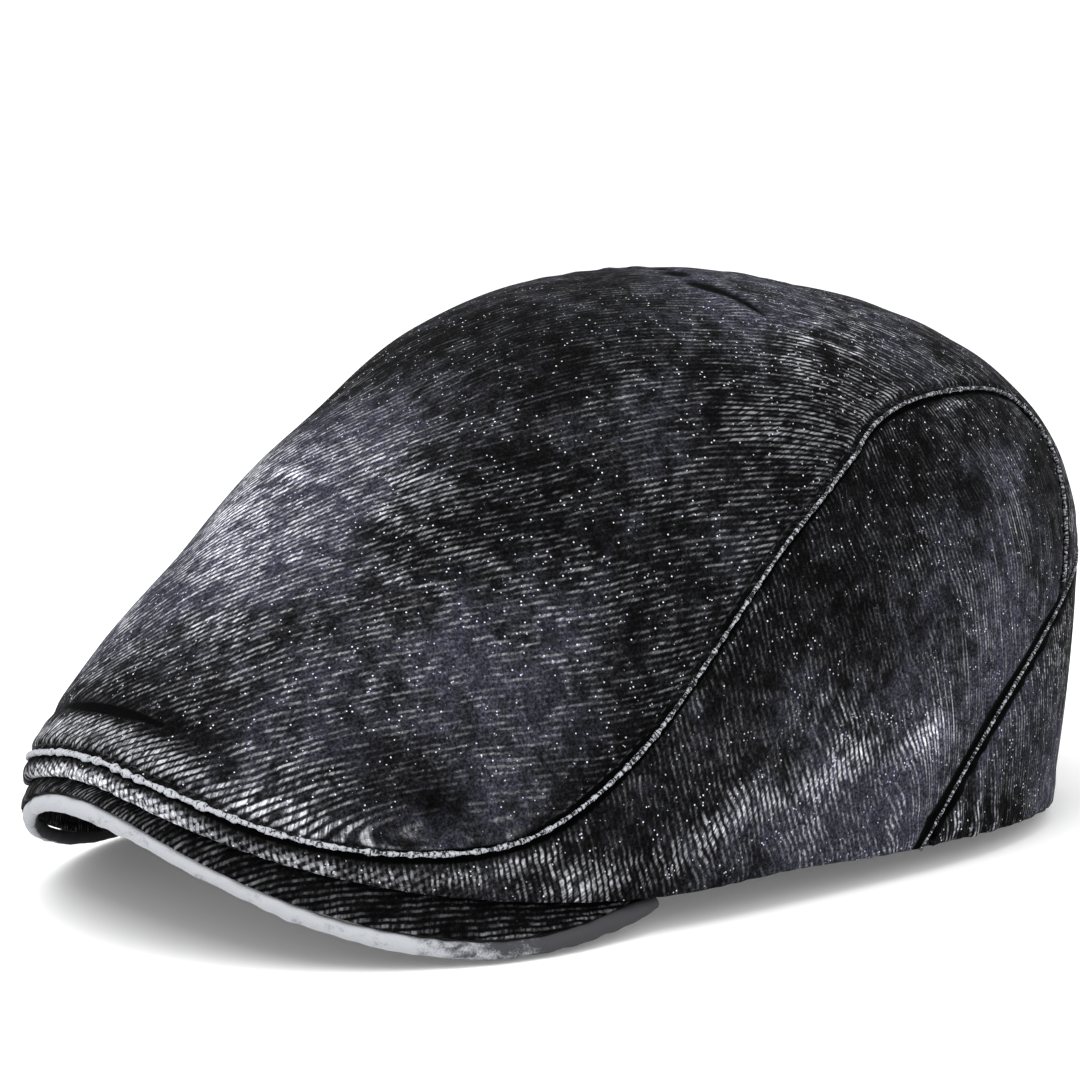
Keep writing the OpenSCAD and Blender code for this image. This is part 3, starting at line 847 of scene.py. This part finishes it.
def add_side_panel(side, material):
    along, across = packed(81), packed(401, 0.2)
    rim = rim_chart(0, SIDE_FOOT, 14, 1.85)
    chart = patch(CROWN_SEAM, rim, [(0, 0.92), (0, 1)], REAR_SEAM[::-1], along, across)
    chart = chart * [side, 1]
    base = OUTER.point(chart)
    down, sideways = lengths(base, 0), lengths(base, 1)
    seam, hem = down, down[-1:] - down
    rear = sideways[:, -1:] - sideways
    lift = 0.35 * ripple(base, 24, 21) + 0.15 * ripple(base, 8, 22)
    lift = lift * np.clip(np.minimum(seam, hem) / 9, 0, 1)
    lift -= 0.75 * bell(seam, 2.6)
    lift += folded_edge(hem, 1.1) + 0.4 * bell(hem - 4, 3) - 0.3 * bell(hem - 8.5, 0.8)
    lift += pucker(sideways, hem, 6.5, 0.3, 23) + pucker(sideways, seam, 7.0, 0.25, 24)
    lift += folded_edge(rear) - 0.3 * bell(rear - 2, 0.8)
    rubbed = distance_to(base * [side, 1, 1], curve(HEM_BAND, np.linspace(0, 1, 120)))
    wear_and_shade = 0.9 * bell(rubbed, 6.5) * (1 - 0.6 * bell(rear, 16)) + bell(sideways, 85) * bell(hem - 5, 7)
    # Painted shade: near black in the groove under the crown's welt and beside the rear seam, where the
    # fold itself is rubbed pale
    wear_and_shade += 0.5 * bell(sideways, 26) - 2.4 * bell(seam, 2.2) + 0.3 * ripple(base, 14, 25) - 0.2
    wear_and_shade += 0.35 * bell(seam - 5, 3) - 1.8 * bell(rear - 1.6, 1.6) + 0.8 * bell(rear - 0.2, 0.5)
    fade = 0.5 * ripple(base, 35, 26) - 0.1 + 0.7 * bell(rear, 30) + patches(base)
    cloth = np.stack([around_rim(base), down], -1)
    cross = np.clip((105 - sideways) / 50, 0, 1)
    marks = {"wear_and_shade": wear_and_shade, "fade": fade, "cross": cross}
    name = side_name(side)
    add_denim_panel(f"crown_side_{name}", chart, lift, cloth, material, marks, [f"side_panel_{name}"])


def add_back_panel(side, material):
    along, across = packed(121), packed(221)
    edge_line = joined([tuple(curve(REAR_SEAM, 0.1))] + REAR_SEAM[1:], ARCH_SEAM)
    rim = rim_chart(BACK_FOOT, 180, 10)
    chart = patch(edge_line, rim, [edge_line[0], rim[0]], [(0, -0.7), (0, -1)], along, across)
    chart = chart * [side, 1]
    base = OUTER.point(chart)
    down, sideways = lengths(base, 0), lengths(base, 1)
    seam, hem, middle = down, down[-1:] - down, sideways[:, -1:] - sideways
    edge = np.minimum(seam, middle)
    lift = 0.4 * ripple(base, 22, 31) * np.clip(np.minimum(edge, hem) / 8, 0, 1)
    lift -= 0.6 * bell(seam, 2.2)
    lift += folded_edge(hem, 1.1) + 0.35 * bell(hem - 4, 3) + pucker(sideways, seam, 8, 0.5, 32)
    lift += -0.5 * bell(middle, 0.9) + pucker(sideways, hem, 7, 0.3, 33)
    # Slanting wrinkles beside the rear seam, which pulls on the cloth
    drawn = np.sin((0.8 * sideways + 0.6 * down) / 1.5 + 1.5 * ripple(base, 18, 36))
    drawn *= bell(sideways - 14, 16)
    lift += 0.35 * drawn * np.clip(seam / 6, 0, 1)
    cloth = np.stack([sideways, down], -1)
    wear_and_shade = 0.1 + 0.2 * bell(hem, 8) + 0.2 * ripple(base, 25, 34) + 0.12 * drawn
    # Painted shade: near black in the groove beside the seam
    wear_and_shade -= 2.2 * bell(seam - 1.2, 1.8)
    fade = 0.5 * ripple(base, 30, 35) + patches(base) + 0.5 * drawn
    marks = {"wear_and_shade": wear_and_shade, "fade": fade}
    name = side_name(side)
    add_denim_panel(f"crown_back_{name}", chart, lift, cloth, material, marks, [f"back_panel_{name}"])


# ---- Seams ----


# Share of the crown's seam, from the front, that its fold and stitches follow, and a path's spacing
CROWN_SEAM_SHARE = 0.985
SEAM_SPACING = 0.32


def seam_path(line, share):
    """A seam on the crown from its left end over the middle to its right end: its points evenly
    spaced, their normals and their distances from the start"""
    half = curve(line, np.linspace(0, share, 400))
    chart = np.concatenate([half[::-1], half[1:] * [-1, 1]])
    travelled = lengths(OUTER.point(chart), 0)
    places = np.linspace(0, travelled[-1], int(travelled[-1] / SEAM_SPACING) + 1)
    chart = resampled(chart, travelled, places)
    return OUTER.point(chart), OUTER.normal(chart), places


def add_welt(name, line, share, width, height, material, replaces):
    """The rubbed fold of the upper panel along a seam, with the small teeth that its stitches pull"""
    path, normals, places = seam_path(line, share)
    side = unit(np.cross(np.gradient(path, axis=0), normals))
    front = bell(distance_from(path, (0, -118, 45)), 75)
    teeth = 1 + 0.1 * np.sin(places * 2 * np.pi / 1.7) + 0.3 * ripple(path, 1.3, 41)
    reach = width / 2 * teeth * (0.72 + 0.4 * front)
    turns = full_turn(12)
    rise = height * (0.8 + 0.3 * front) * (1 + 0.1 * ripple(path, 3.0, 42))
    wide = np.cos(turns) * reach[:, None]
    tall = np.sin(turns) * rise[:, None] + 0.1
    sections = path[:, None] + side[:, None] * wide[..., None] + normals[:, None] * tall[..., None]
    marks = {"wear_and_shade": 0.35 + 0.5 * front}
    add_sweep(name, sections, material, marks=marks, slot="denim_edge", replaces=replaces)


def add_crown_stitches(material):
    path, normals, _ = seam_path(CROWN_SEAM, CROWN_SEAM_SHARE)
    side = unit(np.cross(np.gradient(path, axis=0), normals))
    inward = side * np.sign((side * ([0, APEX_Y, OUTER.height] - path)).sum(-1))[:, None]
    rings = stitch_rings(path + inward * 1.9 - normals * 0.35, normals, stitch=2.3, pause=0.7, radius=0.26)
    add_stitches("crown_stitches", rings, material, slot="denim_edge")


# ---- Visor ----

VISOR_HALF_WIDTH = 76.5
VISOR_REACH = 99
VISOR_ARCH = 27
VISOR_ARCH_POWER = 4.1
VISOR_ROUNDNESS = 1.98
# The visor spans this many degrees to each side; its root spans fewer on the rim of the band
VISOR_END = 88
ROOT_END = 58
CORNER_TUCK = 7
CORNER_LIFT = 5
BOARD_T = 1.5
BINDING_R = 1.8
BINDING_RISE = 1.55
COVER_T = 0.6
SEAM_GAP = 0.2
CORNER_Y = WIDEST_Y - 62
PASS_AT = 0.3


def tucked(phi):
    """How much of the corner's tuck is reached; phi runs from -90 degrees at the right corner to 90"""
    return (np.maximum(np.abs(phi) - 60, 0) / 30) ** 1.8


def visor_edge(phi):
    """Middle of the rolled edge"""
    s, c = np.sin(np.radians(phi)), np.cos(np.radians(phi))
    r = (np.abs(s) ** VISOR_ROUNDNESS + np.abs(c) ** VISOR_ROUNDNESS) ** (-1 / VISOR_ROUNDNESS)
    return np.stack([
        VISOR_HALF_WIDTH * r * s - np.sign(phi) * CORNER_TUCK * tucked(phi),
        CORNER_Y - VISOR_REACH * r * c,
        BINDING_R - 0.4 + VISOR_ARCH * np.maximum(c, 0) ** VISOR_ARCH_POWER + CORNER_LIFT * tucked(phi),
    ], -1)


def visor_root(phi):
    p = BAND.rim(np.radians(phi * ROOT_END / 90))
    out = unit((p - [0, APEX_Y, 0]) * [1, 1, 0])
    return p + out * 2.5 + [0, 0, 0.5]


def visor_pass(phi, edge, root):
    """Where the visor passes just inside the lower edge of the crown, level at its tucked corners"""
    turn = np.arctan2(edge[..., 0] / OUTER.half_width, (WIDEST_Y - edge[..., 1]) / OUTER.front_reach)
    p = OUTER.rim(turn)
    out = unit((p - [0, CORNER_Y, 0]) * [1, 1, 0])
    inside = p - out * (DENIM_T + 2.2) - [0, 0, 0.8]
    share = tucked(phi)[..., None]
    return inside * (1 - share) + (edge * (1 - PASS_AT) + root * PASS_AT) * share


def visor_point(phi, s):
    """Middle surface of the visor; s is 0 at the edge and 1 where it is sewn in"""
    edge, root, k = visor_edge(phi), visor_root(phi), PASS_AT
    crest = (visor_pass(phi, edge, root) - (1 - k) ** 2 * edge - k**2 * root) / (2 * k * (1 - k))
    s = np.asarray(s)[..., None]
    return (1 - s) ** 2 * edge + 2 * s * (1 - s) * crest + s**2 * root


def visor_normal(phi, s):
    along = visor_point(phi + 0.5, s) - visor_point(phi - 0.5, s)
    inward = visor_point(phi, s + 0.01) - visor_point(phi, s - 0.01)
    return unit(np.cross(along, inward))


# The covers start this far from the visor's edge
COVER_START = 2.2
# Their ribs turn away from the edge by this much per mm, from LEVEL_AT mm left of the middle towards
# the right, until they lean by COVER_LEAN at LEANING_AT mm
COVER_TURN = math.radians(0.6)
COVER_LEAN = math.radians(50)
LEVEL_AT = 99
LEANING_AT = 15.7


def cover_cloth(along, away):
    lean = np.minimum(COVER_TURN * (LEVEL_AT - along), COVER_LEAN)
    flat = np.log(np.cos(lean)) / COVER_TURN - math.tan(COVER_LEAN) * np.maximum(LEANING_AT - along, 0)
    return np.stack([along, away - flat], -1)


def add_visor_cover(name, near, far, material, replaces, seed):
    """Cloth over one side of the board; near and far are the heights of its two faces"""
    half_count, rows = 176, 81
    phi = np.linspace(-VISOR_END, VISOR_END, 2 * half_count + 1)[:, None] + np.zeros(rows)
    e = 0.01
    start = COVER_START * e / np.linalg.norm(visor_point(phi, e) - visor_edge(phi), axis=-1)
    s = start + (0.99 - start) * np.linspace(0, 1, rows)
    middle, normal = visor_point(phi, s), visor_normal(phi, s)
    away, run = lengths(middle, 1), lengths(middle, 0)
    along = run[:, :1] - run[half_count, 0] + 0 * away
    swell = 0.12 * ripple(middle, 14, seed) - 0.2 * bell(away - 2.2, 0.6) + pucker(run, away, 5, 0.12, seed)
    face = middle + normal * (far + np.sign(far) * swell)[..., None]
    back = (middle + normal * near)[::BACK_STEP, ::BACK_STEP]
    marks = {"wear_and_shade": 0.35 * bell(away, 2.5) + 0.22, "fade": np.full_like(away, -1.3)}
    add_sheet(
        name, face, back, cover_cloth(along, away), material,
        step=BACK_STEP, marks=marks, slot="visor_denim", replaces=replaces,
    )


def add_binding(material):
    """The rolled strip around the visor's edge, pulled in a little by its stitches"""
    phi = np.linspace(-VISOR_END, VISOR_END, 640)
    path = visor_edge(phi)
    along = unit(visor_edge(phi + 0.5) - visor_edge(phi - 0.5))
    up = visor_normal(phi, 0.02)
    inward = unit(np.cross(up, along))
    inward = inward * np.sign((inward * (visor_root(phi) - path)).sum(-1))[:, None]
    turns = full_turn(28)
    wide = np.cos(turns) * BINDING_R + 0.2
    tall = np.sin(turns) * BINDING_RISE
    sections = path[:, None] + inward[:, None] * wide[:, None] + up[:, None] * tall[:, None]
    puff = 0.1 * ripple(sections, 2.4, 51) + 0.1 * ripple(sections, 7, 52)
    sections = sections + unit(sections - path[:, None] - inward[:, None] * 0.9) * puff[..., None]
    # Painted shade: the strip's underside and its ends towards the corners are darkened, as they lie in
    # shadow
    corner = np.clip((np.abs(phi) - 50) / 30, 0, 1)
    shaded_underside = np.clip(-np.sin(turns) * 2 - 0.6, 0, 1)
    marks = {"wear_and_shade": 1 - 1.1 * corner[:, None] - shaded_underside}
    add_sweep(
        "visor_rim", sections, material, marks=marks, slot="visor_binding", replaces=["visor_edge_binding"],
    )


# ---- Inside ----


# The lining's top is a disc on the chart, and each of its sides a strip between it and the rim
LINING_TOP_REACH = 0.55


def add_lining_piece(name, chart, lift, material):
    middle = LINING.point(chart)
    cloth = np.stack([lengths(middle, 1), lengths(middle, 0)], -1)
    back = LINING.raised(chart[::BACK_STEP, ::BACK_STEP], 0)
    add_sheet(
        f"inner_{name}", LINING.raised(chart, lift - 0.25), back, cloth, material,
        step=BACK_STEP, slot="lining", replaces=[f"lining_{name}"],
    )


def add_lining(material):
    front = LINING_TOP_REACH * compass(np.radians(np.arange(45, -46, -15)))
    left = LINING_TOP_REACH * compass(np.radians(np.arange(45, 136, 15)))
    share = np.linspace(0, 1, 121)
    chart = patch(front, front * [1, -1], left, left * [-1, 1], share, share)
    slack = 0.35 + 0.35 * ripple(LINING.point(chart), 16, 61)
    edge = LINING_TOP_REACH - np.linalg.norm(chart, axis=-1)
    add_lining_piece("top", chart, -0.25 - slack * np.clip(edge / 0.06, 0, 1), material)

    turn = np.radians(np.linspace(0.3, 179.7, 241))
    reach = np.linspace(0.556, 0.965, 81)
    for side in (1, -1):
        chart = reach[:, None, None] * compass(turn) * [side, 1]
        middle = LINING.point(chart)
        down = lengths(middle, 0)
        edge = np.minimum(down, down[-1:] - down)
        gather = pucker(lengths(middle, 1), down, 9, 0.35, 62)
        slack = 0.35 + 0.35 * ripple(middle, 14, 63)
        lift = np.minimum(gather - 0.25 - slack * np.clip(edge / 6, 0, 1), 0)
        add_lining_piece(side_name(side), chart, lift, material)


def band_grid(turn, heights, depths):
    """Points of a strip in the head opening: heights above the rim and depths inside the band's face"""
    return BAND.raised(BAND.near_rim(turn, heights), -depths)


def add_sweatband(material, thread):
    turn = full_turn(480)
    low, high, thickness = 1.2, 28.0, 1.2
    rows = np.linspace(low, high, 25)
    edge = np.minimum(rows - low, high - rows)
    inner = thickness + 0.3 * bell((rows - (low + high) / 2) / 9, 1.0) - 0.5 * bell(edge, 0.6)
    waves = 0.15 * np.sin(turn * 40)[:, None] * bell(edge - 3, 3)
    sections = np.concatenate([
        band_grid(turn, rows, inner + waves),
        band_grid(turn, rows[::-BACK_STEP], np.zeros(1)),
    ], 1)
    add_sweep("head_band", sections, material, closed=True, slot="sweatband", replaces=["sweatband"])
    rings = []
    turn = np.radians(np.linspace(0, 360, 900))
    for height in (3.0, 26.0):
        chart = BAND.near_rim(turn, np.array([height]))[:, 0]
        path = BAND.raised(chart, -thickness - 0.05)
        rings += stitch_rings(path, -BAND.normal(chart), stitch=2.6, pause=0.9, radius=0.25)
    add_stitches("head_band_stitches", rings, thread, slot="sweatband")


def add_label(material):
    turn = np.radians(np.linspace(170, 190, 41))
    sections = band_grid(turn, there_and_back(7, 22, 21), np.repeat([1.85, 1.5], 21))
    add_sweep("inner_label", sections, material, slot="label", replaces=["size_label"])


def add_hem_tape(material):
    turn = np.radians(np.linspace(78, 282, 307))
    chart = OUTER.near_rim(turn, there_and_back(0, 10, 11))
    sections = OUTER.raised(chart, -np.repeat([1.7, 2.3], 11))
    for foot in (0, -1):
        sections[:, foot, 2] = np.maximum(OUTER.rim(turn)[:, 2], 0.02)
    add_sweep("hem_facing", sections, material, slot="hem_tape", replaces=["hem_tape"])


# ---- Adjuster ----

STRAP_R = 108
STRAP_Z = 15
STRAP_LEAN = math.radians(8)
STRAP_INNER_Y = WIDEST_Y + OUTER.rear_reach + 5.4
STRAP_W = 18
STRAP_T = 1.4
CORNER_POINTS = 5


def at_back(points):
    """From the adjuster's own frame, which leans with the back of the crown, to the cap's"""
    c, s = math.cos(STRAP_LEAN), math.sin(STRAP_LEAN)
    x, y, z = points[..., 0], points[..., 1], points[..., 2]
    return np.stack([x, y * c + z * s + STRAP_INNER_Y, -y * s + z * c + STRAP_Z], -1)


def arc_points(degrees, out, height):
    """Points on a band around the head: degrees towards the left, out from the strap's inner face"""
    turn = np.radians(degrees)
    radius = STRAP_R + out
    y = radius * np.cos(turn) - STRAP_R
    return at_back(np.stack([radius * np.sin(turn), y, height + 0 * radius], -1))


def rounded_section(low, high, width, radius):
    """Outline of a flat band: out from low to high, and width across, with rounded corners"""
    outline = []
    for out, side, start in ((high, 1, 0), (high, -1, 270), (low, -1, 180), (low, 1, 90)):
        for a in np.radians(np.linspace(start + 90, start, CORNER_POINTS)):
            centre_out = out - math.copysign(radius, out - (low + high) / 2)
            centre_z = side * (width / 2 - radius)
            outline.append((centre_out + radius * math.cos(a), centre_z + radius * math.sin(a)))
    return np.array(outline)


def band_sections(degrees, outline):
    """The outline of a band at each of several places around the head"""
    places = degrees[:, None] + 0 * outline[:, 0]
    return arc_points(places, outline[:, 0] + 0 * places, outline[:, 1] + 0 * places)


def add_band(name, start, end, low, high, width, material, **options):
    """Flat band of doubled cloth"""
    degrees = np.linspace(start, end, max(int((end - start) * 4), 12))
    outline = rounded_section(low, high, width, (high - low) * 0.45)
    marks = {"wear_and_shade": np.full(len(degrees), 0.6), "fade": np.full(len(degrees), 0.2)}
    add_sweep(name, band_sections(degrees, outline), material, marks=marks, **options)


def add_sleeve(name, start, end, material, **options):
    """Flat tube of cloth around the strap"""
    gap, ply = 0.3, 0.8
    degrees = np.linspace(start, end, max(int((end - start) * 3), 10))
    outer = rounded_section(-gap - ply, STRAP_T + gap + ply, STRAP_W + 2 * (gap + ply), 0.9)
    inner = rounded_section(-gap, STRAP_T + gap, STRAP_W + 2 * gap, 0.3)
    loops = [band_sections(degrees, outline) for outline in (outer, inner)]
    count, sides = loops[0].shape[:2]
    points = np.concatenate([loop.reshape(-1, 3) for loop in loops])
    faces = []
    for first in (0, count * sides):
        faces += ring_faces(count, sides, False, first)[:-2]
    for row in (0, count - 1):
        for j in range(sides):
            a, b = row * sides + j, row * sides + (j + 1) % sides
            faces.append([a, b, b + count * sides, a + count * sides])
    along = (np.radians(degrees) * STRAP_R)[:, None] + np.zeros(sides)
    cloth = np.concatenate([np.stack([along, lengths(loop, 1)], -1).reshape(-1, 2) for loop in loops])
    marks = {"wear_and_shade": np.full(len(points), 0.5), "fade": np.full(len(points), 0.1)}
    add_piece(name, points, faces, cloth, material, marks=marks, slot="strap_denim", **options)


def add_strap_stitches(material):
    rings = []
    degrees = np.linspace(-15, 22, 200)
    edge = STRAP_W / 2 - 2.2
    for height in (-edge, edge):
        path = arc_points(degrees, STRAP_T, height + 0 * degrees)
        outer = arc_points(degrees, STRAP_T + 1, height + 0 * degrees)
        rings += stitch_rings(path, outer - path, stitch=2.4, pause=0.8, radius=0.24)
    add_stitches("belt_stitches", rings, material, body="strap", slot="strap_denim")


# ---- Everything together ----

add_camera()
add_stage()

top_denim = denim("denim_top", 0, 2.2)
side_denim = denim("denim_side", 80, 1.25, (148, 1.6))
back_denim = denim("denim_back", 110, 1.3)
visor_denim = denim("denim_visor", 0, 1.35)
edge_cloth = worn_edge("worn_edge")
binding_cloth = faded_strip("binding_cloth")
thread = plain_cloth("thread", (0.12, 0.12, 0.13), (0.42, 0.43, 0.46), 0.5, 0.05)
dark_thread = plain_cloth("dark_thread", (0.008, 0.008, 0.009), (0.03, 0.03, 0.033), 0.5, 0.05)
satin = plain_cloth("satin", (0.006, 0.006, 0.007), (0.014, 0.014, 0.016), 0.35, 0.02, 0.5, 0.42)
tape = plain_cloth("tape", (0.01, 0.01, 0.011), (0.035, 0.035, 0.038), 0.6, 0.08)
band_cloth = plain_cloth("band_cloth", (0.008, 0.008, 0.009), (0.028, 0.028, 0.031), 0.6, 0.08)
label_cloth = plain_cloth("label_cloth", (0.45, 0.45, 0.43), (0.75, 0.75, 0.72), 0.4, 0.05)
old_brass = brass("old_brass")

add_top_panel(top_denim)
for side in (1, -1):
    add_side_panel(side, side_denim)
    add_back_panel(side, back_denim)
add_welt("crown_welt", CROWN_SEAM, CROWN_SEAM_SHARE, 1.2, 0.6, edge_cloth, ["crown_seam_welt"])
add_welt("rear_welt", joined(REAR_SEAM, ARCH_SEAM)[::-1], 1.0, 1.0, 0.5, edge_cloth, ["rear_seam_welt"])
add_crown_stitches(dark_thread)

cover_low = BOARD_T / 2 + SEAM_GAP
add_visor_cover("visor_top", cover_low, cover_low + COVER_T, visor_denim, ["visor_upper_cover"], 71)
add_visor_cover("visor_under", -cover_low, -cover_low - COVER_T, visor_denim, ["visor_lower_cover"], 72)
add_binding(binding_cloth)

add_lining(satin)
add_sweatband(band_cloth, dark_thread)
add_label(label_cloth)
add_hem_tape(tape)

add_band(
    "belt", -15.5, 22, 0, STRAP_T, STRAP_W, back_denim,
    body="strap", slot="strap_denim", replaces=["adjuster_strap"],
)
add_strap_stitches(thread)
add_sleeve("belt_channel", 6.5, 22.5, back_denim, replaces=["strap_channel"])
add_sleeve("belt_keeper", -14.5, -11.5, back_denim, replaces=["strap_keeper"])
add_band("belt_tab", -14.2, -5.6, -2.4, -1.6, 16, back_denim, slot="strap_denim", replaces=["clasp_tab"])

# CAD nodes that are shown as they are, in better materials
shown_as_is = dict.fromkeys(("clasp_base", "clasp_pin", "clasp_lever"), old_brass)
shown_as_is["visor_board"] = board_plastic("board")
for node, material in shown_as_is.items():
    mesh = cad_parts[node].data
    mesh.materials.clear()
    mesh.materials.append(material)
